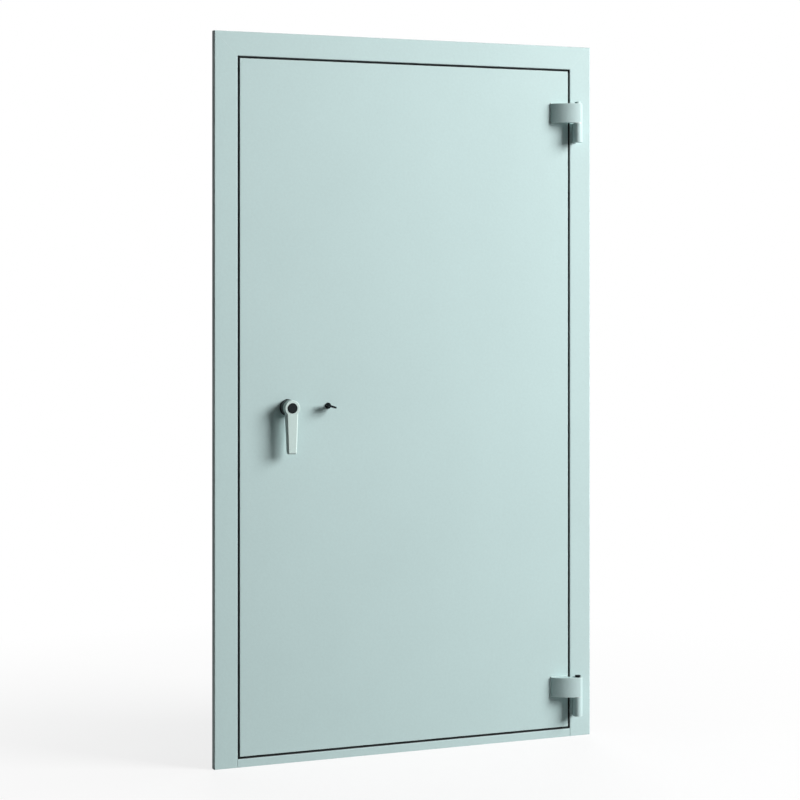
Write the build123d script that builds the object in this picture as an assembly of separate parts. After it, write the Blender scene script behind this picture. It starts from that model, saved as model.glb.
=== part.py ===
"""Strongroom security door: steel frame, one leaf on two lift-off hinges, lever handle and key.

Millimetres. +X is right seen from the attack side, +Y runs into the wall, +Z is up.
The origin is on the underside of the sill, in the middle of the doorway, on the wall's face.
"""

import os

from build123d import *

os.makedirs("parts", exist_ok=True)

# Outer size of the frame's casing, and the widths of its face
FRAME_WIDTH = 1200.0
FRAME_HEIGHT = 2100.0
CASING_FACE = 70.0
SILL_FACE = 24.0
CASING_DEPTH = 20.0
CASING_EDGE_RADIUS = 3.0

# Folded steel of the frame behind the casing
FRAME_SHEET = 3.0
REBATE_DEPTH = 19.0
STOP_WIDTH = 18.0
FRAME_DEPTH_IN_WALL = 80.0
WALL_SETBACK = 40.0
WALL_LIP = 18.0
REAR_LIP = 18.0

# Running gap round the leaf, and the fire seal on the stop, just behind the closed leaf
LEAF_GAP = 6.0
SEAL_WIDTH = 15.0
SEAL_CLEARANCE = 0.5

# Leaf: front pan, box of channels, filling and back cover
PAN_DEPTH = 12.0
PAN_SHEET = 3.0
PAN_EDGE_RADIUS = 1.5
BOX_INSET = 29.0
BOX_DEPTH = 67.0
CHANNEL_SHEET = 4.0
CHANNEL_FLANGE = 30.0
COVER_SHEET = 3.0
COVER_INSET = 2.0
FILLING_FIT = 0.3

# Hinges: pin axis measured from the leaf's edge and face, partings from its top and bottom
HINGE_AXIS_BESIDE_LEAF = 18.0
HINGE_AXIS_PROUD = 30.0
UPPER_HINGE_FROM_TOP = 159.0
LOWER_HINGE_FROM_BOTTOM = 95.0
KNUCKLE_RADIUS = 14.0
KNUCKLE_HEIGHT = 58.0
WING_REACH = 58.0
WING_TOE = 8.0
WING_HEEL_INSET = 6.0
STEM_WIDTH = 14.0
PIN_RADIUS = 7.0
PIN_FIT = 0.1
PIN_HEAD_RADIUS = 8.5
PIN_HEAD_HEIGHT = 5.5
WASHER_THICKNESS = 1.0
WASHER_RADIUS = 13.5
BEARING_GAP = 0.3

# Lever handle: its axis measured in from the leaf's lock edge
HANDLE_BACKSET = 144.0
HANDLE_Z = 1023.5
HUB_RADIUS = 23.0
HUB_PROUD = 44.0
HUB_EDGE_CHAMFER = 1.5
HUB_FIT = 0.3
LEVER_LENGTH = 132.0
LEVER_ROOT_THICKNESS = 16.0
LEVER_TIP_THICKNESS = 11.0
LEVER_ROOT_WIDTH = 38.0
LEVER_TIP_WIDTH = 28.0
LEVER_TIP_RADIUS = 5.0
LEVER_EDGE_CHAMFER = 4.0
CAP_RADIUS = 15.0
CAP_RECESS = 1.5
CAP_THICKNESS = 2.5
CAP_FIT = 0.3
ROSETTE_RADIUS = 24.0
ROSETTE_THICKNESS = 5.0
SPINDLE_RADIUS = 8.0
SPINDLE_DEPTH = 50.0
SPINDLE_FIT = 0.1
SPINDLE_SOCKET = 28.0

# Key, beside the handle and turned a little, and its escutcheon
KEY_SPACING = 124.0
KEY_Z = 1025.5
KEY_TILT = 18.0
ESCUTCHEON_RADIUS = 9.0
ESCUTCHEON_THICKNESS = 2.5
KEY_SHANK_RADIUS = 3.5
KEY_DEPTH = 45.0
KEY_COLLAR_RADIUS = 5.0
KEY_COLLAR_LENGTH = 4.0
KEY_BOW_START = 12.0
KEY_BOW_LENGTH = 26.0
KEY_BOW_WIDTH = 32.0
KEY_BOW_THICKNESS = 5.0
KEY_BOW_CORNER = 9.0
KEY_RING_RADIUS = 4.5
KEY_RING_OFFSET = 5.0
KEY_FIT = 0.1

# Locking bolts on the lock side, shown drawn back, and fixed dogs on the hinge side
LOWER_BOLT_FROM_BOTTOM = 370.0
UPPER_BOLT_FROM_TOP = 374.0
BOLT_RADIUS = 14.0
BOLT_LENGTH = 60.0
BOLT_RECESS = 1.0
BOLT_FIT = 0.2
SOCKET_RADIUS = 17.0
DOG_RADIUS = 12.0
DOG_LENGTH = 28.0
DOG_CLEARANCE = 5.0
DOG_SWING = 6.0

# Fixing holes through the jambs for the wall anchors, evenly spaced between floor and top
ANCHOR_COUNT = 4
LOWEST_ANCHOR = 220.0
TOP_ANCHOR_FROM_TOP = 230.0
ANCHOR_HOLE_RADIUS = 7.0
ANCHOR_Y = 40.0

# Places that follow from the sizes above
face_y = -CASING_DEPTH
stop_y = face_y + REBATE_DEPTH
rear_y = FRAME_DEPTH_IN_WALL
half_width = FRAME_WIDTH / 2
rebate_x = half_width - CASING_FACE
rebate_top = FRAME_HEIGHT - CASING_FACE
throat_x = rebate_x - STOP_WIDTH
throat_bottom = SILL_FACE + STOP_WIDTH
leaf_x = rebate_x - LEAF_GAP
leaf_bottom = SILL_FACE + LEAF_GAP
leaf_top = rebate_top - LEAF_GAP
pan_rear_y = face_y + PAN_DEPTH
box_x = leaf_x - BOX_INSET
box_bottom = leaf_bottom + BOX_INSET
box_top = leaf_top - BOX_INSET
box_rear_y = pan_rear_y + BOX_DEPTH
hinge_x = leaf_x + HINGE_AXIS_BESIDE_LEAF
hinge_y = face_y - HINGE_AXIS_PROUD
hinge_partings = {"upper": leaf_top - UPPER_HINGE_FROM_TOP, "lower": leaf_bottom + LOWER_HINGE_FROM_BOTTOM}
handle_x = -leaf_x + HANDLE_BACKSET
key_x = handle_x + KEY_SPACING
bolt_y = (pan_rear_y + box_rear_y) / 2
bolt_heights = {
    "lower": leaf_bottom + LOWER_BOLT_FROM_BOTTOM,
    "middle": HANDLE_Z,
    "upper": leaf_top - UPPER_BOLT_FROM_TOP,
}
anchor_spacing = (FRAME_HEIGHT - LOWEST_ANCHOR - TOP_ANCHOR_FROM_TOP) / (ANCHOR_COUNT - 1)
anchor_heights = [LOWEST_ANCHOR + index * anchor_spacing for index in range(ANCHOR_COUNT)]


def block(x_span, y_span, z_span):
    """A box between two corners."""
    sizes = [high - low for low, high in (x_span, y_span, z_span)]
    centre = [(low + high) / 2 for low, high in (x_span, y_span, z_span)]
    return Pos(*centre) * Box(*sizes)


def rod_x(radius, x_start, x_end, y, z):
    """A round bar along X."""
    return Pos((x_start + x_end) / 2, y, z) * Rot(0, 90, 0) * Cylinder(radius, abs(x_end - x_start))


def rod_y(radius, y_start, y_end, x, z):
    """A round bar along Y."""
    return Pos(x, (y_start + y_end) / 2, z) * Rot(90, 0, 0) * Cylinder(radius, abs(y_end - y_start))


def rod_z(radius, z_start, z_end, x, y):
    """A round bar along Z."""
    return Pos(x, y, (z_start + z_end) / 2) * Cylinder(radius, abs(z_end - z_start))


def folded_outline(points, sheet):
    """The closed outline of a folded sheet whose outer skin follows the points, metal on the left."""
    inner = []
    for index, point in enumerate(points):
        normals = []
        for first, second in ((index - 1, index), (index, index + 1)):
            if first >= 0 and second < len(points):
                run = (Vector(*points[second]) - Vector(*points[first])).normalized()
                normals.append(Vector(-run.Y, run.X))
        total = normals[0] + normals[-1] if len(normals) == 2 else normals[0]
        share = 1 + normals[0].dot(normals[-1]) if len(normals) == 2 else 1
        inner.append(tuple(Vector(*point) + total * (sheet / share))[:2])
    return list(points) + inner[::-1]


def section_face(plane, outline, rounded=(), radius=0.0):
    """A face drawn on a plane, with the named corners rounded."""
    face = Face(Wire.make_polygon([(a, b, 0) for a, b in outline], close=True))
    if rounded:
        corners = [v for v in face.vertices() if any(
            abs(v.X - a) < 1e-6 and abs(v.Y - b) < 1e-6 for a, b in rounded)]
        face = fillet(corners, radius)
    return plane * face


# Frame

def casing_outline():
    """Outer skin of jamb and head: distance in from the frame's edge, then depth from the wall face."""
    return [
        (WALL_LIP, 0.0),
        (0.0, 0.0),
        (0.0, face_y),
        (CASING_FACE, face_y),
        (CASING_FACE, stop_y),
        (CASING_FACE + STOP_WIDTH, stop_y),
        (CASING_FACE + STOP_WIDTH, rear_y),
        (WALL_SETBACK, rear_y),
        (WALL_SETBACK, rear_y - REAR_LIP),
    ]


def frame_face(plane):
    """The folded section of the frame, with the casing's front bends rounded."""
    bends = [(0.0, face_y), (CASING_FACE, face_y)]
    return section_face(plane, folded_outline(casing_outline(), FRAME_SHEET), bends, CASING_EDGE_RADIUS)


def mitre_plane(side):
    """The plane of the mitre at one top corner: its normal points up and towards the doorway."""
    return Plane(origin=(side * half_width, 0, FRAME_HEIGHT), z_dir=(-side, 0, 1))


def plain_jamb(side):
    """One jamb from the floor to its mitre, without holes. Side is -1 at the lock, +1 at the hinges."""
    plane = Plane(origin=(-half_width, 0, 0), x_dir=(1, 0, 0), z_dir=(0, 0, 1))
    bar = extrude(frame_face(plane), FRAME_HEIGHT)
    bar = split(bar, bisect_by=mitre_plane(-1), keep=Keep.BOTTOM)
    return bar if side < 0 else mirror(bar, about=Plane.YZ)


def throat_hole(side, radius, y, z):
    """A cutter for a round hole through the jamb's throat wall."""
    reach = 2 * FRAME_SHEET
    return rod_x(radius, side * (throat_x - reach), side * (throat_x + reach), y, z)


def dog_slot(z):
    """A cutter for the slot that a dog swings out of, longer towards the casing."""
    width = 2 * (DOG_RADIUS + DOG_CLEARANCE)
    slot_plane = Plane(origin=(throat_x - 2 * FRAME_SHEET, bolt_y - DOG_SWING / 2, z),
                       x_dir=(0, 1, 0), z_dir=(1, 0, 0))
    return extrude(slot_plane * SlotOverall(width + DOG_SWING, width), 4 * FRAME_SHEET)


def jamb(side):
    """A jamb with its anchor holes, and bolt sockets or dog slots."""
    bar = plain_jamb(side)
    for z in anchor_heights:
        bar -= throat_hole(side, ANCHOR_HOLE_RADIUS, ANCHOR_Y, z)
    for z in bolt_heights.values():
        bar -= throat_hole(side, SOCKET_RADIUS, bolt_y, z) if side < 0 else dog_slot(z)
    return bar


def frame_head():
    """The head between the two mitres."""
    plane = Plane(origin=(-half_width, 0, FRAME_HEIGHT), x_dir=(0, 0, -1), z_dir=(1, 0, 0))
    bar = extrude(frame_face(plane), FRAME_WIDTH)
    for side in (-1, 1):
        bar = split(bar, bisect_by=mitre_plane(side), keep=Keep.TOP)
    return bar


def sill():
    """The closed box of the sill, with a rebate like the jambs', standing on the floor."""
    outline = [(face_y, 0.0), (rear_y, 0.0), (rear_y, throat_bottom), (stop_y, throat_bottom),
               (stop_y, SILL_FACE), (face_y, SILL_FACE)]
    plane = Plane(origin=(-rebate_x, 0, 0), x_dir=(0, 1, 0), z_dir=(1, 0, 0))
    bar = extrude(section_face(plane, outline, [(face_y, SILL_FACE)], CASING_EDGE_RADIUS), 2 * rebate_x)
    sheet = FRAME_SHEET
    bar -= block((-rebate_x, rebate_x), (face_y + sheet, rear_y - sheet), (sheet, SILL_FACE - sheet))
    bar -= block((-rebate_x, rebate_x), (stop_y + sheet, rear_y - sheet), (sheet, throat_bottom - sheet))
    for side in (-1, 1):
        ends = sorted((side * throat_x, side * rebate_x))
        bar -= block(ends, (stop_y, rear_y), (0, throat_bottom))
    return bar


def seal_strips():
    """Flat fire seal on the stop, one strip a side."""
    outer = rebate_x - (STOP_WIDTH - SEAL_WIDTH) / 2
    inner = outer - SEAL_WIDTH
    low = SILL_FACE + (STOP_WIDTH - SEAL_WIDTH) / 2
    high = rebate_top - (STOP_WIDTH - SEAL_WIDTH) / 2
    depth = (pan_rear_y + SEAL_CLEARANCE, stop_y)
    return {
        "seal_lock_side": block((-outer, -inner), depth, (low + SEAL_WIDTH, high - SEAL_WIDTH)),
        "seal_hinge_side": block((inner, outer), depth, (low + SEAL_WIDTH, high - SEAL_WIDTH)),
        "seal_head": block((-outer, outer), depth, (high - SEAL_WIDTH, high)),
        "seal_sill": block((-throat_x, throat_x), depth, (low, low + SEAL_WIDTH)),
    }


# Leaf

def handle_bore(y_start, y_end, radius=SPINDLE_RADIUS + SPINDLE_FIT):
    """A cutter for the spindle's way through the leaf."""
    return rod_y(radius, y_start, y_end, handle_x, HANDLE_Z)


def key_bore(y_start, y_end, radius=KEY_SHANK_RADIUS + KEY_FIT):
    """A cutter for the key's way into the leaf."""
    return rod_y(radius, y_start, y_end, key_x, KEY_Z)


def front_pan():
    """The front sheet with its edges folded back."""
    pan = block((-leaf_x, leaf_x), (face_y, pan_rear_y), (leaf_bottom, leaf_top))
    front_edges = pan.faces().sort_by(Axis.Y)[0].edges()
    pan = fillet(front_edges, PAN_EDGE_RADIUS)
    pan -= block((-leaf_x + PAN_SHEET, leaf_x - PAN_SHEET), (face_y + PAN_SHEET, pan_rear_y),
                 (leaf_bottom + PAN_SHEET, leaf_top - PAN_SHEET))
    return pan - handle_bore(face_y, pan_rear_y) - key_bore(face_y, pan_rear_y)


def channel_outline():
    """Outer skin of the leaf's edge channel: distance in from the edge, then depth."""
    return [
        (CHANNEL_FLANGE, box_rear_y),
        (0.0, box_rear_y),
        (0.0, pan_rear_y),
        (CHANNEL_FLANGE, pan_rear_y),
    ]


def box_mitre(side_x, side_z):
    """The mitre plane at a corner of the leaf's box: the rail is above it, the stile below."""
    corner_z = box_top if side_z > 0 else box_bottom
    return Plane(origin=(side_x * box_x, 0, corner_z), z_dir=(-side_x, 0, side_z))


def stile(side):
    """An upright channel on the leaf's edge, mitred at both ends."""
    plane = Plane(origin=(-box_x, 0, box_bottom), x_dir=(1, 0, 0), z_dir=(0, 0, 1))
    bar = extrude(section_face(plane, folded_outline(channel_outline(), CHANNEL_SHEET)), box_top - box_bottom)
    for side_z in (-1, 1):
        bar = split(bar, bisect_by=box_mitre(-1, side_z), keep=Keep.BOTTOM)
    if side > 0:
        return mirror(bar, about=Plane.YZ)
    for z in bolt_heights.values():
        bar -= rod_x(BOLT_RADIUS + BOLT_FIT, -box_x - CHANNEL_SHEET, -box_x + 2 * CHANNEL_SHEET, bolt_y, z)
    return bar


def rail(side_z):
    """A level channel on the leaf's top or bottom edge."""
    plane = Plane(origin=(-box_x, 0, box_top), x_dir=(0, 0, -1), z_dir=(1, 0, 0))
    bar = extrude(section_face(plane, folded_outline(channel_outline(), CHANNEL_SHEET)), 2 * box_x)
    for side_x in (-1, 1):
        bar = split(bar, bisect_by=box_mitre(side_x, 1), keep=Keep.TOP)
    middle = Plane(origin=(0, 0, (box_top + box_bottom) / 2), z_dir=(0, 0, 1))
    return bar if side_z > 0 else mirror(bar, about=middle)


def filling():
    """The cast filling: a layer in the pan, the middle, and a tongue in the channels."""
    fit = FILLING_FIT
    in_pan = leaf_x - PAN_SHEET - fit
    filled = block((-in_pan, in_pan), (face_y + PAN_SHEET, pan_rear_y),
                   (leaf_bottom + PAN_SHEET + fit, leaf_top - PAN_SHEET - fit))
    middle = CHANNEL_FLANGE + fit
    filled += block((-box_x + middle, box_x - middle), (pan_rear_y, box_rear_y),
                    (box_bottom + middle, box_top - middle))
    tongue = CHANNEL_SHEET + fit
    filled += block((-box_x + tongue, box_x - tongue), (pan_rear_y + tongue, box_rear_y - tongue),
                    (box_bottom + tongue, box_top - tongue))
    pocket = BOLT_RADIUS + fit
    for z in bolt_heights.values():
        filled -= block((-box_x, -box_x + BOLT_RECESS + BOLT_LENGTH + fit),
                        (bolt_y - pocket, bolt_y + pocket), (z - pocket, z + pocket))
    filled -= handle_bore(face_y, face_y + SPINDLE_DEPTH + fit, SPINDLE_RADIUS + fit)
    return filled - key_bore(face_y, face_y + KEY_DEPTH + fit, KEY_SHANK_RADIUS + fit)


def back_cover():
    """The inner sheet of the leaf."""
    return block((-box_x + COVER_INSET, box_x - COVER_INSET), (box_rear_y, box_rear_y + COVER_SHEET),
                 (box_bottom + COVER_INSET, box_top - COVER_INSET))


def lock_bolt(z):
    """A round bolt drawn back into the lock stile."""
    tip = -box_x + BOLT_RECESS
    return rod_x(BOLT_RADIUS, tip, tip + BOLT_LENGTH, bolt_y, z)


def dog_bolt(z):
    """A fixed dog on the hinge stile."""
    return rod_x(DOG_RADIUS, box_x, box_x + DOG_LENGTH, bolt_y, z)


# Hinges

def leaf_knuckle(parting):
    """The leaf's half: a curved wing that sweeps out from the leaf's face into the upper knuckle."""
    toe_x = leaf_x - WING_REACH
    heel_x = leaf_x - WING_HEEL_INSET
    crown = (hinge_x, hinge_y - KNUCKLE_RADIUS)
    toe_top = (toe_x, face_y - WING_TOE)
    back_of_barrel = (hinge_x, hinge_y + KNUCKLE_RADIUS)
    outline = (
        Line((heel_x, face_y), (toe_x, face_y))
        + Line((toe_x, face_y), toe_top)
        + TangentArc(crown, toe_top, tangent=(-1, 0))
        + ThreePointArc(crown, (hinge_x + KNUCKLE_RADIUS, hinge_y), back_of_barrel)
        + Line(back_of_barrel, (heel_x, hinge_y + KNUCKLE_RADIUS))
        + Line((heel_x, hinge_y + KNUCKLE_RADIUS), (heel_x, face_y))
    )
    low = parting + WASHER_THICKNESS + BEARING_GAP
    wing = extrude(Pos(0, 0, low) * make_face(outline), KNUCKLE_HEIGHT)
    wing -= rod_z(PIN_RADIUS + PIN_FIT, low, low + KNUCKLE_HEIGHT, hinge_x, hinge_y)
    return wing


def frame_knuckle(parting):
    """The frame's half: a lower knuckle on a stem welded to the casing."""
    low = parting - KNUCKLE_HEIGHT
    barrel = rod_z(KNUCKLE_RADIUS, low, parting, hinge_x, hinge_y)
    barrel += block((hinge_x - STEM_WIDTH / 2, hinge_x + STEM_WIDTH / 2), (hinge_y, face_y), (low, parting))
    return barrel - rod_z(PIN_RADIUS + PIN_FIT, low, parting, hinge_x, hinge_y)


def hinge_pin(parting):
    """The pin through both knuckles, with a round head over the upper one."""
    low = parting - KNUCKLE_HEIGHT
    head = parting + WASHER_THICKNESS + KNUCKLE_HEIGHT + 2 * BEARING_GAP
    pin = rod_z(PIN_RADIUS, low, head, hinge_x, hinge_y)
    return pin + rod_z(PIN_HEAD_RADIUS, head, head + PIN_HEAD_HEIGHT, hinge_x, hinge_y)


def hinge_washer(parting):
    """The bearing washer that carries the leaf, resting on the frame's knuckle."""
    ring = rod_z(WASHER_RADIUS, parting, parting + WASHER_THICKNESS, hinge_x, hinge_y)
    return ring - rod_z(PIN_RADIUS + PIN_FIT, parting, parting + WASHER_THICKNESS, hinge_x, hinge_y)


# Handle and key

def lever_arm(front):
    """The lever alone: narrower and thinner towards its tip, with chamfered edges round its face."""
    root = LEVER_ROOT_WIDTH / 2
    tip = LEVER_TIP_WIDTH / 2
    tips = [(-tip, -LEVER_LENGTH), (tip, -LEVER_LENGTH)]
    face_plane = Plane(origin=(handle_x, front, HANDLE_Z), x_dir=(1, 0, 0), z_dir=(0, -1, 0))
    outline = section_face(face_plane, [(-root, 0), tips[0], tips[1], (root, 0)], tips, LEVER_TIP_RADIUS)
    arm = extrude(outline, -LEVER_ROOT_THICKNESS)
    side_plane = Plane(origin=(handle_x - root, front, HANDLE_Z), x_dir=(0, 1, 0), z_dir=(1, 0, 0))
    side = [(0, 0), (0, -LEVER_LENGTH), (LEVER_TIP_THICKNESS, -LEVER_LENGTH), (LEVER_ROOT_THICKNESS, 0)]
    arm &= extrude(section_face(side_plane, side), LEVER_ROOT_WIDTH)
    return chamfer(arm.faces().sort_by(Axis.Y)[0].edges(), LEVER_EDGE_CHAMFER)


def handle_lever():
    """Hub and lever in one casting, hanging down."""
    front = face_y - HUB_PROUD
    back = face_y - ROSETTE_THICKNESS - HUB_FIT
    hub = rod_y(HUB_RADIUS, front, back, handle_x, HANDLE_Z)
    casting = chamfer(hub.edges().sort_by(Axis.Y)[0], HUB_EDGE_CHAMFER) + lever_arm(front)
    casting -= rod_y(CAP_RADIUS, front, front + CAP_RECESS, handle_x, HANDLE_Z)
    return casting - rod_y(SPINDLE_RADIUS, back - SPINDLE_SOCKET, back, handle_x, HANDLE_Z)


def handle_cap():
    """The round cap in the hub's recess."""
    seat = face_y - HUB_PROUD + CAP_RECESS
    return rod_y(CAP_RADIUS - CAP_FIT, seat - CAP_THICKNESS, seat, handle_x, HANDLE_Z)


def handle_spindle():
    """The shaft that carries the hub through the leaf's face."""
    socket_end = face_y - ROSETTE_THICKNESS - HUB_FIT - SPINDLE_SOCKET
    return rod_y(SPINDLE_RADIUS, socket_end, face_y + SPINDLE_DEPTH, handle_x, HANDLE_Z)


def handle_rosette():
    """The fixed collar between leaf and hub."""
    disc = rod_y(ROSETTE_RADIUS, face_y - ROSETTE_THICKNESS, face_y, handle_x, HANDLE_Z)
    return disc - handle_bore(face_y - ROSETTE_THICKNESS, face_y)


def key_escutcheon():
    """The small round plate at the keyhole."""
    disc = rod_y(ESCUTCHEON_RADIUS, face_y - ESCUTCHEON_THICKNESS, face_y, key_x, KEY_Z)
    return disc - key_bore(face_y - ESCUTCHEON_THICKNESS, face_y)


def key_shank():
    """The key's round shank with the collar behind its bow."""
    bow_y = face_y - KEY_BOW_START
    shank = rod_y(KEY_SHANK_RADIUS, bow_y, face_y + KEY_DEPTH, key_x, KEY_Z)
    return shank + rod_y(KEY_COLLAR_RADIUS, bow_y, bow_y + KEY_COLLAR_LENGTH, key_x, KEY_Z)


def key_bow():
    """The flat bow with a ring hole, nearly level."""
    start = face_y - KEY_BOW_START
    outline = RectangleRounded(KEY_BOW_WIDTH, KEY_BOW_LENGTH, KEY_BOW_CORNER)
    outline -= Pos(0, -KEY_RING_OFFSET) * Circle(KEY_RING_RADIUS)
    bow = Pos(0, 0, -KEY_BOW_THICKNESS / 2) * extrude(outline, KEY_BOW_THICKNESS)
    return Pos(key_x, start - KEY_BOW_LENGTH / 2, KEY_Z) * Rot(0, KEY_TILT, 0) * bow


def build():
    """Every sub-part by its name."""
    parts = {
        "frame_lock_jamb": jamb(-1),
        "frame_hinge_jamb": jamb(1),
        "frame_head": frame_head(),
        "frame_sill": sill(),
        "leaf_front_pan": front_pan(),
        "leaf_lock_stile": stile(-1),
        "leaf_hinge_stile": stile(1),
        "leaf_top_rail": rail(1),
        "leaf_bottom_rail": rail(-1),
        "leaf_filling": filling(),
        "leaf_back_cover": back_cover(),
        "handle_rosette": handle_rosette(),
        "handle_spindle": handle_spindle(),
        "handle_lever": handle_lever(),
        "handle_cap": handle_cap(),
        "key_escutcheon": key_escutcheon(),
        "key_shank": key_shank(),
        "key_bow": key_bow(),
    }
    parts.update(seal_strips())
    for place, z in bolt_heights.items():
        parts[f"lock_bolt_{place}"] = lock_bolt(z)
        parts[f"dog_bolt_{place}"] = dog_bolt(z)
    for place, parting in hinge_partings.items():
        parts[f"hinge_{place}_leaf_knuckle"] = leaf_knuckle(parting)
        parts[f"hinge_{place}_frame_knuckle"] = frame_knuckle(parting)
        parts[f"hinge_{place}_pin"] = hinge_pin(parting)
        parts[f"hinge_{place}_washer"] = hinge_washer(parting)
    return parts


for node, shape in build().items():
    export_step(shape, f"parts/{node}.step")
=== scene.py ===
"""The looks of the strongroom security door: finishes, small fittings, stage, light and camera."""

import math

import bmesh
import bpy
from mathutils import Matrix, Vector


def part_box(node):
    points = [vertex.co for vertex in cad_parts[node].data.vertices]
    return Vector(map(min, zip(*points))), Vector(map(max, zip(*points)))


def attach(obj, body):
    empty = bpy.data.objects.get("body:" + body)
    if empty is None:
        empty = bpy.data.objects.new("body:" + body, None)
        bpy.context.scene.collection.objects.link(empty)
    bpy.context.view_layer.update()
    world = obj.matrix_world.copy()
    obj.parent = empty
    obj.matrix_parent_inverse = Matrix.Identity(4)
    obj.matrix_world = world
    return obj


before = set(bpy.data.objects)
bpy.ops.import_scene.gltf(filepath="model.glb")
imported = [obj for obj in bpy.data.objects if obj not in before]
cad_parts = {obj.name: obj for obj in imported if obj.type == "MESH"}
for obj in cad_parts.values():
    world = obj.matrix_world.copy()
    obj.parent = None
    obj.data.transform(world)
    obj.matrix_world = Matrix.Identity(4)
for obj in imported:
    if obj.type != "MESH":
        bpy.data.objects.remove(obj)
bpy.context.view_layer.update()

MM = 0.001

# The photograph's view: its size, where it was taken from, and how far it is turned off square
PHOTO_SIZE = 800
SENSOR_WIDTH = 36.0
FOCAL_LENGTH = 93.66
HORIZON_ROW = 273.66
CAMERA_PLACE = (-2.37375, -5.67949, 1.4087)
CAMERA_TURN = 22.5

# Studio: lamps by place, size and power, and the floor by its colour, as seen and for other rays
LAMP_AIM = (0.0, 0.0, 1.0)
KEY_PLACE = (6.1, -5.05, 4.25)
KEY_SIZE = 4.2
KEY_POWER = 1185.0
SOFT_PLACE = (1.5, -7.5, 2.4)
SOFT_SIZE = 3.5
SOFT_POWER = 12.0
BACK_PLACE = (2.6, 6.4, 2.8)
BACK_SIZE = 3.5
BACK_POWER = 220.0
WORLD_FILL = 0.012
FLOOR_SIZE = 60.0
FLOOR_COLOUR = (0.86, 0.86, 0.86)
FLOOR_BOUNCE = (0.26, 0.27, 0.27)

# The floor's share of plain white, least near the object and full away from it
WHITE_FROM = 0.6
WHITE_TO = 2.4
WHITE_LEAST = 0.8

# Dark rubber strip on the rebate's walls, which puts painted shade in the gap, and plate on the leaf's rim
REBATE_GAP = 6.0 * MM
STRIP_DEPTH = 11.0 * MM
STRIP_SETBACK = 1.0 * MM
STRIP_THICKNESS = 0.9 * MM
STRIP_RIB = 0.25 * MM
STRIP_RIBS = 4
STEPS_PER_RIB = 4
RIM_PLATE_THICKNESS = 0.4 * MM
RIM_PLATE_INSET = 0.3 * MM

# Weld beads at the hinges
STEM_HALF_WIDTH = 7.0 * MM
WING_HEEL_INSET = 6.0 * MM
STEM_BEAD = 3.0 * MM
WING_BEAD = 2.0 * MM
BEAD_RIPPLE = 2.4 * MM
BEAD_STEP = 0.6 * MM
BEAD_THINNEST = 0.82
BEAD_ARC_STEPS = 4

# Screws of the back cover: the head is given as (radius, height) from its foot to its socket
SCREW_INSET = 12.0 * MM
SCREW_PITCH = 240.0 * MM
SCREW_HEAD = ((5.5 * MM, 0.0), (5.3 * MM, 1.2 * MM), (4.4 * MM, 2.0 * MM), (3.2 * MM, 2.3 * MM))
SCREW_SOCKET = 2.0 * MM
SCREW_SOCKET_FLOOR = 0.8 * MM
SCREW_SIDES = 24
SMOOTH_BELOW = 35

# Colours, as linear values
PAINT_COLOUR = (0.485, 0.62, 0.614)
# Lighter edges of the paint: partly thin coat, partly a painted highlight
PAINT_WORN_AND_HIGHLIGHT = (0.74, 0.84, 0.82)
CASTING_COLOUR = (0.54, 0.66, 0.63)
# Lighter edges of the handle's coat: partly thin coat, partly a painted highlight
CASTING_WORN_AND_HIGHLIGHT = (0.80, 0.90, 0.88)
# Painted shade on the hub's side behind the lever's blade
HUB_SHADE_COLOUR = (0.06, 0.075, 0.075)
STEEL_COLOUR = (0.56, 0.57, 0.58)
BLACK_STEEL_COLOUR = (0.008, 0.012, 0.014)
BLACK_STEEL_RUBBED = (0.10, 0.11, 0.12)
PLASTIC_COLOUR = (0.008, 0.011, 0.012)
PLASTIC_RUBBED = (0.05, 0.055, 0.06)
SEAL_COLOUR = (0.018, 0.018, 0.02)
SEAL_PRESSED = (0.045, 0.045, 0.047)
FILLING_COLOUR = (0.42, 0.41, 0.38)
FILLING_SAND = (0.24, 0.23, 0.21)

# Powder coat: its orange peel and slow waves, and the patches of its tone, gloss and lighter edges, which
# are partly thin coat and partly painted highlight
PEEL_GRAIN = 7.0 * MM
PEEL_DEPTH = 0.12 * MM
WAVE_GRAIN = 350.0 * MM
WAVE_DEPTH = 0.5 * MM
CLOUD_GRAIN = 400.0 * MM
GLOSS_GRAIN = 90.0 * MM
WEAR_AND_HIGHLIGHT_GRAIN = 50.0 * MM

# The lever's blade ends at this depth, and behind it the hub's side is darkened as painted shade
BLADE_BACK = -47.0 * MM
HUB_SHADE_BLUR = 0.5 * MM

# Turned steel: tool marks are drawn out round the axis, and dull patches are darker
MARK_GRAIN = 1.2 * MM
MARKS_ALONG = 0.4
MARKS_ROUND = 6
MARK_DEPTH = 0.015 * MM
DULL_GRAIN = 12.0 * MM
DULL_SHARE = 0.5
DULL_TONE = 0.55

# The part of a noise's values that is spread over a range
NOISE_BAND = (0.3, 0.7)

# Rounded edges, and the cosine of the turn at which an edge counts in full
BEVEL_SAMPLES = 6
EDGE_TURN = 0.6


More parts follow.
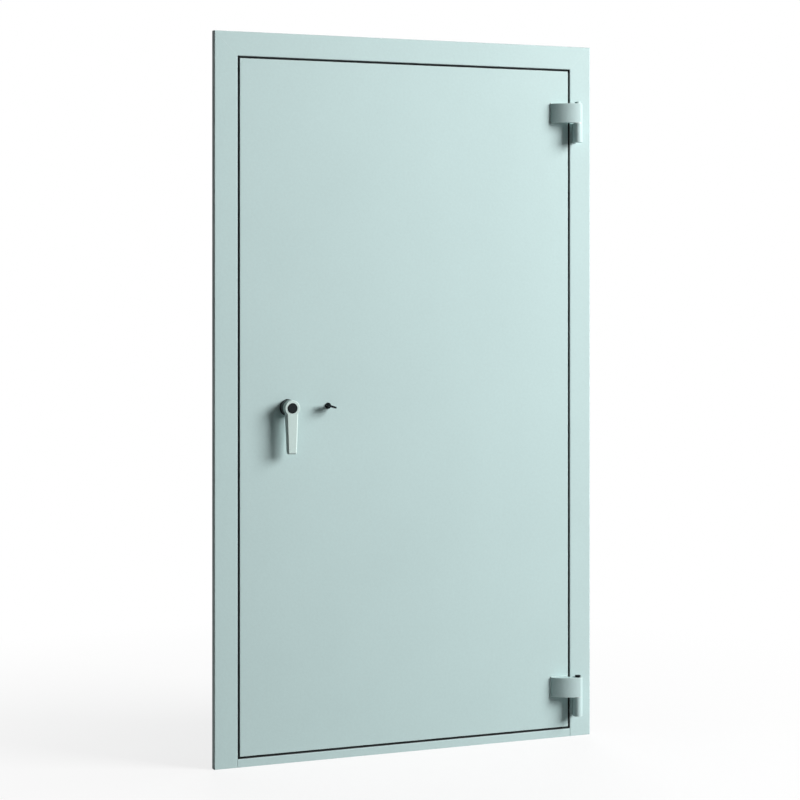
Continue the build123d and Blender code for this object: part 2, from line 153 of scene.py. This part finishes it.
class Finish:
    """A node material under construction, in object coordinates, so its sizes are real ones."""

    def __init__(self, name, slot):
        self.material = bpy.data.materials.new(name)
        self.material.use_nodes = True
        self.slot = slot
        self.tree = self.material.node_tree
        self.tree.nodes.clear()
        self.shader = self.add("ShaderNodeBsdfPrincipled")
        self.output = self.add("ShaderNodeOutputMaterial")
        self.link(self.shader.outputs["BSDF"], self.output.inputs["Surface"])
        self.place = self.add("ShaderNodeTexCoord").outputs["Object"]

    def add(self, kind, **settings):
        """A new node with the given settings."""
        made = self.tree.nodes.new(kind)
        for name, value in settings.items():
            setattr(made, name, value)
        return made

    def link(self, source, target):
        """Joins an output to an input."""
        self.tree.links.new(source, target)

    def feed(self, node, name, value):
        """Sets an input to a number or colour, or joins an output to it."""
        if isinstance(value, bpy.types.NodeSocket):
            self.link(value, node.inputs[name])
        else:
            node.inputs[name].default_value = value

    def noise(self, grain, detail=3.0, roughness=0.5, stretch=(1, 1, 1)):
        """Noise whose features are about the given size in metres, from 0 to 1."""
        spread = self.add("ShaderNodeMapping")
        self.link(self.place, spread.inputs["Vector"])
        spread.inputs["Scale"].default_value = [1 / (grain * s) for s in stretch]
        made = self.add("ShaderNodeTexNoise")
        self.link(spread.outputs["Vector"], made.inputs["Vector"])
        for name, value in (("Scale", 1.0), ("Detail", detail), ("Roughness", roughness)):
            made.inputs[name].default_value = value
        return made.outputs["Fac"]

    def span(self, value, band, result=(0.0, 1.0)):
        """Maps a band of a value onto a range of results, held at its ends."""
        made = self.add("ShaderNodeMapRange", clamp=True)
        self.feed(made, "Value", value)
        for name, number in zip(("From Min", "From Max", "To Min", "To Max"), (*band, *result)):
            self.feed(made, name, number)
        return made.outputs["Result"]

    def drift(self, grain, result=(0.0, 1.0), detail=3.0, roughness=0.5):
        """A value that wanders over a range, in features of about the given size in metres."""
        return self.span(self.noise(grain, detail, roughness), NOISE_BAND, result)

    def product(self, first, second):
        """One value times another."""
        made = self.add("ShaderNodeMath", operation="MULTIPLY")
        for index, value in enumerate((first, second)):
            self.feed(made, index, value)
        return made.outputs["Value"]

    def mix(self, share, first, second):
        """A colour between two colours."""
        made = self.add("ShaderNodeMix", data_type="RGBA")
        share_input, first_input, second_input, colour_output = 0, 6, 7, 2
        self.feed(made, share_input, share)
        for index, colour in ((first_input, first), (second_input, second)):
            solid = isinstance(colour, tuple)
            self.feed(made, index, (*colour, 1.0) if solid else colour)
        return made.outputs[colour_output]

    def mottled(self, colour, amount, grain):
        """A colour that drifts a little lighter and darker over the surface."""
        low = tuple(c * (1 - amount) for c in colour)
        high = tuple(c * (1 + amount) for c in colour)
        return self.mix(self.drift(grain, detail=4.0, roughness=0.6), low, high)

    def rounded(self, radius):
        """The surface's normal with its edges rounded by a radius."""
        made = self.add("ShaderNodeBevel", samples=BEVEL_SAMPLES)
        made.inputs["Radius"].default_value = radius
        return made.outputs["Normal"]

    def edges(self, radius):
        """A mask of what is within about that many metres of an edge."""
        rounded = self.rounded(radius)
        flat = self.add("ShaderNodeNewGeometry").outputs["Normal"]
        turned = self.add("ShaderNodeVectorMath", operation="DOT_PRODUCT")
        self.link(rounded, turned.inputs[0])
        self.link(flat, turned.inputs[1])
        return self.span(turned.outputs["Value"], band=(1.0, EDGE_TURN))

    def relief(self, layers, edge_radius):
        """Bump from (height, depth in metres) layers over edges softened by a radius."""
        normal = self.rounded(edge_radius)
        for height, depth in layers:
            made = self.add("ShaderNodeBump")
            made.inputs["Distance"].default_value = depth
            self.link(height, made.inputs["Height"])
            self.link(normal, made.inputs["Normal"])
            normal = made.outputs["Normal"]
        self.link(normal, self.shader.inputs["Normal"])

    def set(self, **values):
        """Sets the shader's own sockets, given with underscores for spaces."""
        for name, value in values.items():
            self.feed(self.shader, name.replace("_", " "), value)


def powder_coat(name, slot, colour, worn_and_highlight, edge_radius, wear_and_highlight_width):
    """Satin powder coat: orange peel, cloudy tone, and lighter edges, partly where the coat is thin and
    partly painted highlight.
    """
    finish = Finish(name, slot)
    clouds = finish.mottled(colour, amount=0.03, grain=CLOUD_GRAIN)
    speckle = finish.mottled(colour, amount=0.04, grain=PEEL_GRAIN)
    tone = finish.mix(0.5, clouds, speckle)
    # Lighter band along the edges: partly thin coat, partly a painted highlight
    thin_and_highlight = finish.product(finish.edges(wear_and_highlight_width), finish.drift(WEAR_AND_HIGHLIGHT_GRAIN, result=(0.6, 1.0)))
    finish.set(Base_Color=finish.mix(thin_and_highlight, tone, worn_and_highlight), Metallic=0.0, IOR=1.5, Specular_IOR_Level=0.12)
    finish.set(Roughness=finish.drift(GLOSS_GRAIN, result=(0.42, 0.52), detail=4.0))
    peel = finish.noise(PEEL_GRAIN, detail=2.0, roughness=0.4)
    waves = finish.noise(WAVE_GRAIN, detail=1.0)
    finish.relief([(peel, PEEL_DEPTH), (waves, WAVE_DEPTH)], edge_radius)
    return finish


def shade_behind(finish, depth, colour):
    """Paints shade on the part of a piece behind a depth, as a darker colour."""
    tone = finish.shader.inputs["Base Color"].links[0].from_socket
    parts = finish.add("ShaderNodeSeparateXYZ")
    finish.link(finish.place, parts.inputs["Vector"])
    # Painted shade: a darker colour behind the given depth
    behind = finish.span(parts.outputs["Y"], band=(depth - HUB_SHADE_BLUR, depth + HUB_SHADE_BLUR))
    finish.set(Base_Color=finish.mix(behind, tone, finish.mottled(colour, amount=0.2, grain=6 * MM)))


def turned_steel(name, axis, roughness):
    """Bare steel with fine tool marks round an axis, given by its letter, and a few dull patches."""
    finish = Finish(name, "bright_steel")
    stretch = [MARKS_ALONG if letter == axis else MARKS_ROUND for letter in "xyz"]
    marks = finish.noise(MARK_GRAIN, detail=3.0, roughness=0.6, stretch=stretch)
    dull = finish.span(finish.noise(DULL_GRAIN, detail=4.0), band=(0.45, 0.75))
    bright = finish.mottled(STEEL_COLOUR, amount=0.06, grain=10 * MM)
    dark = tuple(c * DULL_TONE for c in STEEL_COLOUR)
    finish.set(Base_Color=finish.mix(finish.product(dull, DULL_SHARE), bright, dark), Metallic=1.0)
    finish.set(Roughness=finish.span(marks, NOISE_BAND, result=(roughness, roughness + 0.18)))
    finish.relief([(marks, MARK_DEPTH)], edge_radius=0.3 * MM)
    return finish


def blackened_steel():
    """Oiled black steel of the lower hinge pin and the key, rubbed paler along its edges."""
    finish = Finish("blackened_steel", "bright_steel")
    handled = finish.span(finish.noise(4 * MM), band=(0.4, 0.7), result=(0.2, 1.0))
    rubbed = finish.product(finish.edges(0.6 * MM), handled)
    tone = finish.mottled(BLACK_STEEL_COLOUR, amount=0.3, grain=6 * MM)
    finish.set(Base_Color=finish.mix(rubbed, tone, BLACK_STEEL_RUBBED), Metallic=0.3)
    finish.set(Specular_IOR_Level=0.1, Roughness=finish.drift(5 * MM, result=(0.5, 0.65)))
    finish.relief([(finish.noise(0.9 * MM, detail=2.0), 0.01 * MM)], edge_radius=0.3 * MM)
    return finish


def black_moulding():
    """Matt black moulded plastic of the hub's cap and rosette, with its fine grain."""
    finish = Finish("cap_plastic", "black_plastic")
    handled = 0.4
    rubbed = finish.product(finish.edges(0.8 * MM), handled)
    tone = finish.mottled(PLASTIC_COLOUR, amount=0.25, grain=8 * MM)
    finish.set(Base_Color=finish.mix(rubbed, tone, PLASTIC_RUBBED), Specular_IOR_Level=0.1)
    finish.set(Roughness=finish.drift(3 * MM, result=(0.42, 0.58)))
    finish.relief([(finish.noise(0.6 * MM, detail=1.0), 0.02 * MM)], edge_radius=0.4 * MM)
    return finish


def seal_rubber():
    """Dark fire seal with its fibrous face, paler where it has been pressed."""
    finish = Finish("seal_rubber", "fire_seal")
    fibres = finish.noise(1.5 * MM, detail=4.0, roughness=0.7)
    pressed = finish.span(finish.noise(30 * MM, detail=2.0), band=(0.45, 0.7), result=(0.0, 0.5))
    tone = finish.mottled(SEAL_COLOUR, amount=0.35, grain=20 * MM)
    finish.set(Base_Color=finish.mix(pressed, tone, SEAL_PRESSED))
    finish.set(Roughness=finish.span(fibres, NOISE_BAND, result=(0.72, 0.92)))
    finish.relief([(fibres, 0.12 * MM)], edge_radius=0.4 * MM)
    return finish


def cast_filling():
    """Cast filling: cement grey with sand grain and a few voids."""
    finish = Finish("cast_filling", "cast_filling")
    sand = finish.noise(2.5 * MM, detail=5.0, roughness=0.7)
    tone = finish.mottled(FILLING_COLOUR, amount=0.12, grain=50 * MM)
    dark = finish.span(sand, band=(0.55, 0.75), result=(0.0, 0.5))
    finish.set(Base_Color=finish.mix(dark, tone, FILLING_SAND))
    finish.set(Roughness=finish.span(sand, NOISE_BAND, result=(0.8, 0.95)))
    finish.relief([(sand, 0.4 * MM)], edge_radius=0.5 * MM)
    return finish


def finishes():
    """Every finish by a short name."""
    looks = {
        "paint": powder_coat("grey_powder_coat", "grey_paint", PAINT_COLOUR, PAINT_WORN_AND_HIGHLIGHT,
                             edge_radius=0.8 * MM, wear_and_highlight_width=4.0 * MM),
        "frame_paint": powder_coat("frame_coat", "grey_paint", PAINT_COLOUR, PAINT_WORN_AND_HIGHLIGHT,
                                   edge_radius=0.5 * MM, wear_and_highlight_width=1.0 * MM),
        "casting": powder_coat("handle_coat", "handle_casting", CASTING_COLOUR, CASTING_WORN_AND_HIGHLIGHT,
                               edge_radius=0.5 * MM, wear_and_highlight_width=5.0 * MM),
        "along_x": turned_steel("turned_bolts", axis="x", roughness=0.22),
        "along_y": turned_steel("turned_spindle", axis="y", roughness=0.22),
        "along_z": turned_steel("turned_pins", axis="z", roughness=0.25),
        "black_steel": blackened_steel(),
        "plastic": black_moulding(),
        "seal": seal_rubber(),
        "filling": cast_filling(),
    }
    # Painted shade on the hub's side behind the lever's blade
    shade_behind(looks["casting"], BLADE_BACK, HUB_SHADE_COLOUR)
    return looks


def dress(finish, *nodes):
    """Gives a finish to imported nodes."""
    for name in nodes:
        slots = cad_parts[name].data.materials
        slots.clear()
        slots.append(finish.material)


def dress_frame_nodes(looks):
    """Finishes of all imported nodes."""
    places = ("upper", "lower")
    heights = ("lower", "middle", "upper")
    dress(looks["frame_paint"], "frame_lock_jamb", "frame_hinge_jamb", "frame_head", "frame_sill")
    dress(looks["paint"], "leaf_front_pan", "leaf_lock_stile", "leaf_hinge_stile")
    dress(looks["paint"], "leaf_top_rail", "leaf_bottom_rail", "leaf_back_cover")
    dress(looks["paint"], *[f"hinge_{p}_{half}_knuckle" for p in places for half in ("leaf", "frame")])
    dress(looks["paint"], "hinge_upper_pin")
    dress(looks["black_steel"], "hinge_lower_pin")
    dress(looks["black_steel"], "key_escutcheon", "key_shank", "key_bow")
    dress(looks["along_z"], *[f"hinge_{p}_washer" for p in places])
    dress(looks["along_x"], *[f"{kind}_bolt_{h}" for h in heights for kind in ("lock", "dog")])
    dress(looks["along_y"], "handle_spindle")
    dress(looks["casting"], "handle_lever")
    dress(looks["plastic"], "handle_cap", "handle_rosette")
    dress(looks["filling"], "leaf_filling")
    dress(looks["seal"], "seal_lock_side", "seal_hinge_side", "seal_head", "seal_sill")


def skin(rings, start, looped, capped):
    """The faces that join a run of rings, whose points are numbered from a start."""
    size = len(rings[0])
    faces = []
    for index in range(len(rings) if looped else len(rings) - 1):
        here = start + index * size
        there = start + (index + 1) % len(rings) * size
        for corner in range(size):
            after = (corner + 1) % size
            faces.append((here + corner, here + after, there + after, there + corner))
    if capped:
        last = start + (len(rings) - 1) * size
        faces.append(tuple(range(start, start + size))[::-1])
        faces.append(tuple(range(last, last + size)))
    return faces


def face_outward(mesh):
    """Turns the faces of a closed mesh outwards."""
    edited = bmesh.new()
    edited.from_mesh(mesh)
    bmesh.ops.recalc_face_normals(edited, faces=edited.faces)
    edited.to_mesh(mesh)
    edited.free()


def add_piece(name, body, finish, rings_list, looped, capped=False):
    """One mesh of skinned rings that rides on a body and wears a finish."""
    vertices, faces = [], []
    for rings in rings_list:
        faces += skin(rings, len(vertices), looped, capped)
        vertices += [point for ring in rings for point in ring]
    mesh = bpy.data.meshes.new(name)
    mesh.from_pydata(vertices, [], faces)
    face_outward(mesh)
    mesh.materials.append(finish.material)
    mesh.shade_smooth()
    mesh.set_sharp_from_angle(angle=math.radians(SMOOTH_BELOW))
    piece = bpy.data.objects.new(name, mesh)
    bpy.context.scene.collection.objects.link(piece)
    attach(piece, body)


def mitred_ring(low, high, profile):
    """The rings of a frame round an upright box, from a profile of (distance outside the box, depth)."""
    corners = ((low.x, low.z, -1, -1), (high.x, low.z, 1, -1),
               (high.x, high.z, 1, 1), (low.x, high.z, -1, 1))
    rings = []
    for x, z, side_x, side_z in corners:
        rings.append([(x + side_x * out, y, z + side_z * out) for out, y in profile])
    return rings


def rebate_shade_strip(finish):
    """Ribbed dark rubber strip on the rebate's four walls, ahead of the fire seal, mitred at its corners,
    which puts painted shade in the gap.
    """
    low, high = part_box("leaf_front_pan")
    front = low.y + STRIP_SETBACK
    steps = STEPS_PER_RIB * STRIP_RIBS
    profile = [(REBATE_GAP, front + STRIP_DEPTH), (REBATE_GAP, front)]
    for step in range(steps + 1):
        rib = STRIP_RIB * math.cos(2 * math.pi * STRIP_RIBS * step / steps)
        profile.append((REBATE_GAP - STRIP_THICKNESS + rib, front + STRIP_DEPTH * step / steps))
    add_piece("rebate_shade_strip", "root", finish, [mitred_ring(low, high, profile)], looped=True)


def rim_plate(finish):
    """Thin plate that closes the leaf's rim behind the front pan, round the box of channels."""
    low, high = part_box("leaf_front_pan")
    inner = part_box("leaf_hinge_stile")[1].x - high.x
    front, back = high.y, high.y + RIM_PLATE_THICKNESS
    profile = [(inner, front), (-RIM_PLATE_INSET, front), (-RIM_PLATE_INSET, back), (inner, back)]
    add_piece("leaf_rim_plate", "leaf", finish, [mitred_ring(low, high, profile)], looped=True)


def away_from(start, end):
    """The direction to the right of the way between two points of the front, as (x, z)."""
    length = math.dist(start, end)
    return (end[1] - start[1]) / length, (start[0] - end[0]) / length


def bead_path(corners, closed):
    """Even points along a run of corners, each with the direction away from what it goes round."""
    legs = list(zip(corners, corners[1:] + corners[:1] if closed else corners[1:]))
    normals = [away_from(start, end) for start, end in legs]
    path = []
    for index, ((x, z), (end_x, end_z)) in enumerate(legs):
        here = normals[index]
        before = normals[index - 1] if closed or index > 0 else (0, 0)
        path.append((x, z, before[0] + here[0], before[1] + here[1]))
        count = round(math.dist((x, z), (end_x, end_z)) / BEAD_STEP)
        for step in range(1, count):
            share = step / count
            path.append((x + (end_x - x) * share, z + (end_z - z) * share, *here))
    if not closed:
        path.append((*corners[-1], *normals[-1]))
    return path


def bead_rings(path, seat_y, radius):
    """A rippled weld bead in the corner between an upright face and what stands on it."""
    rings = []
    for index, (x, z, out_x, out_z) in enumerate(path):
        ripple = abs(math.sin(math.pi * index * BEAD_STEP / BEAD_RIPPLE))
        size = radius * (BEAD_THINNEST + (1 - BEAD_THINNEST) * ripple)
        ring = [(x, seat_y, z)]
        for step in range(BEAD_ARC_STEPS + 1):
            turn = math.radians(90) * step / BEAD_ARC_STEPS
            reach, rise = size * math.cos(turn), size * math.sin(turn)
            ring.append((x + out_x * reach, seat_y - rise, z + out_z * reach))
        rings.append(ring)
    return rings


def stem_bead(place, finish):
    """Bead down both sides and under the stem that carries a hinge's frame knuckle."""
    low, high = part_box(f"hinge_{place}_frame_knuckle")
    axis_x = (low.x + high.x) / 2
    left, right, top = axis_x - STEM_HALF_WIDTH, axis_x + STEM_HALF_WIDTH, high.z - STEM_BEAD
    path = bead_path([(left, top), (left, low.z), (right, low.z), (right, top)], closed=False)
    rings = bead_rings(path, high.y, STEM_BEAD)
    add_piece(f"hinge_{place}_stem_bead", "root", finish, [rings], looped=False, capped=True)


def wing_bead(place, finish):
    """Bead round the foot of a hinge's wing on the leaf."""
    pan_low, pan_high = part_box("leaf_front_pan")
    low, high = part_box(f"hinge_{place}_leaf_knuckle")
    left, right = low.x, pan_high.x - WING_HEEL_INSET
    path = bead_path([(left, low.z), (right, low.z), (right, high.z), (left, high.z)], closed=True)
    rings = bead_rings(path, pan_low.y, WING_BEAD)
    add_piece(f"hinge_{place}_wing_bead", "leaf", finish, [rings], looped=True)


def screw_rings(x, y, z):
    """A low round screw head with a hexagon socket, standing on a face that looks along +Y."""
    turns = [math.radians(360 / SCREW_SIDES * step) for step in range(SCREW_SIDES)]
    flat = math.radians(60)
    hexagon = [SCREW_SOCKET / math.cos(turn % flat - flat / 2) for turn in turns]
    levels = [([radius] * SCREW_SIDES, height) for radius, height in SCREW_HEAD]
    levels += [(hexagon, SCREW_HEAD[-1][1]), (hexagon, SCREW_SOCKET_FLOOR)]
    rings = []
    for radii, height in levels:
        rings.append([(x + r * math.cos(turn), y + height, z + r * math.sin(turn))
                      for r, turn in zip(radii, turns)])
    return rings


def cover_screws(finish):
    """Screws along the edges of the leaf's back cover."""
    low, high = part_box("leaf_back_cover")
    left, right = low.x + SCREW_INSET, high.x - SCREW_INSET
    bottom, top = low.z + SCREW_INSET, high.z - SCREW_INSET
    across = math.ceil((right - left) / SCREW_PITCH)
    upright = math.ceil((top - bottom) / SCREW_PITCH)
    places = [(left + (right - left) * i / across, z) for i in range(across + 1) for z in (bottom, top)]
    places += [(x, bottom + (top - bottom) * i / upright) for i in range(1, upright) for x in (left, right)]
    heads = [screw_rings(x, high.y, z) for x, z in places]
    add_piece("cover_screws", "leaf", finish, heads, looped=False, capped=True)


def seen_rays(tree):
    """One where the camera, gloss or glass looks, and nought for other rays."""
    path = tree.nodes.new("ShaderNodeLightPath")
    seen = path.outputs["Is Camera Ray"]
    for name in ("Is Glossy Ray", "Is Transmission Ray"):
        either = tree.nodes.new("ShaderNodeMath")
        either.operation = "MAXIMUM"
        tree.links.new(seen, either.inputs[0])
        tree.links.new(path.outputs[name], either.inputs[1])
        seen = either.outputs["Value"]
    return seen


def stage_material():
    """Pale floor that turns to the white of the background away from the object, shadows kept."""
    finish = Finish("pale_floor", None)
    seen = seen_rays(finish.tree)
    tone = finish.mix(seen, FLOOR_BOUNCE, finish.mottled(FLOOR_COLOUR, amount=0.01, grain=400 * MM))
    finish.set(Base_Color=tone, Specular_IOR_Level=0.1)
    finish.set(Roughness=finish.drift(300 * MM, result=(0.75, 0.85)))
    away = finish.add("ShaderNodeVectorMath", operation="LENGTH")
    finish.link(finish.place, away.inputs[0])
    share = finish.span(away.outputs["Value"], (WHITE_FROM, WHITE_TO), result=(WHITE_LEAST, 1.0))
    white = finish.add("ShaderNodeEmission")
    both = finish.add("ShaderNodeMixShader")
    finish.link(finish.product(share, seen), both.inputs[0])
    finish.link(finish.shader.outputs["BSDF"], both.inputs[1])
    finish.link(white.outputs["Emission"], both.inputs[2])
    finish.link(both.outputs["Shader"], finish.output.inputs["Surface"])
    return finish.material


def make_floor():
    """A wide pale floor under the sill."""
    half = FLOOR_SIZE / 2
    mesh = bpy.data.meshes.new("floor")
    corners = [(-half, -half, 0), (half, -half, 0), (half, half, 0), (-half, half, 0)]
    mesh.from_pydata(corners, [], [(0, 1, 2, 3)])
    mesh.materials.append(stage_material())
    floor = bpy.data.objects.new("floor", mesh)
    bpy.context.scene.collection.objects.link(floor)


def make_world():
    """White where the camera, gloss or glass sees it, and a low soft fill for the rest."""
    world = bpy.data.worlds.new("studio")
    bpy.context.scene.world = world
    world.use_nodes = True
    tree = world.node_tree
    level = tree.nodes.new("ShaderNodeMapRange")
    level.inputs["To Min"].default_value = WORLD_FILL
    tree.links.new(seen_rays(tree), level.inputs["Value"])
    background = tree.nodes["Background"]
    tree.links.new(level.outputs["Result"], background.inputs["Strength"])
    background.inputs["Color"].default_value = (1.0, 1.0, 1.0, 1.0)


def make_lamp(name, place, size, power):
    """A square soft lamp that faces the middle of the door."""
    lamp = bpy.data.lights.new(name, "AREA")
    lamp.shape = "SQUARE"
    lamp.size = size
    lamp.energy = power
    holder = bpy.data.objects.new(name, lamp)
    holder.location = place
    holder.rotation_euler = (Vector(LAMP_AIM) - Vector(place)).to_track_quat("-Z", "Y").to_euler()
    bpy.context.scene.collection.objects.link(holder)


def make_camera():
    """The photograph's view: level, turned to the left of square, with the horizon where it was."""
    lens = bpy.data.cameras.new("camera")
    lens.sensor_width = SENSOR_WIDTH
    lens.lens = FOCAL_LENGTH
    lens.shift_y = (HORIZON_ROW - PHOTO_SIZE / 2) / PHOTO_SIZE
    camera = bpy.data.objects.new("camera", lens)
    camera.location = CAMERA_PLACE
    camera.rotation_euler = (math.radians(90), 0, math.radians(-CAMERA_TURN))
    bpy.context.scene.collection.objects.link(camera)
    bpy.context.scene.camera = camera


make_camera()
looks = finishes()
dress_frame_nodes(looks)
# Dark strip in the gap between leaf and frame: painted shade
rebate_shade_strip(looks["seal"])
rim_plate(looks["paint"])
for hinge in ("upper", "lower"):
    stem_bead(hinge, looks["paint"])
    wing_bead(hinge, looks["paint"])
cover_screws(looks["along_y"])
make_floor()
make_world()
make_lamp("key_light", KEY_PLACE, KEY_SIZE, KEY_POWER)
make_lamp("soft_light", SOFT_PLACE, SOFT_SIZE, SOFT_POWER)
make_lamp("back_light", BACK_PLACE, BACK_SIZE, BACK_POWER)
bpy.context.scene.view_settings.view_transform = "Standard"
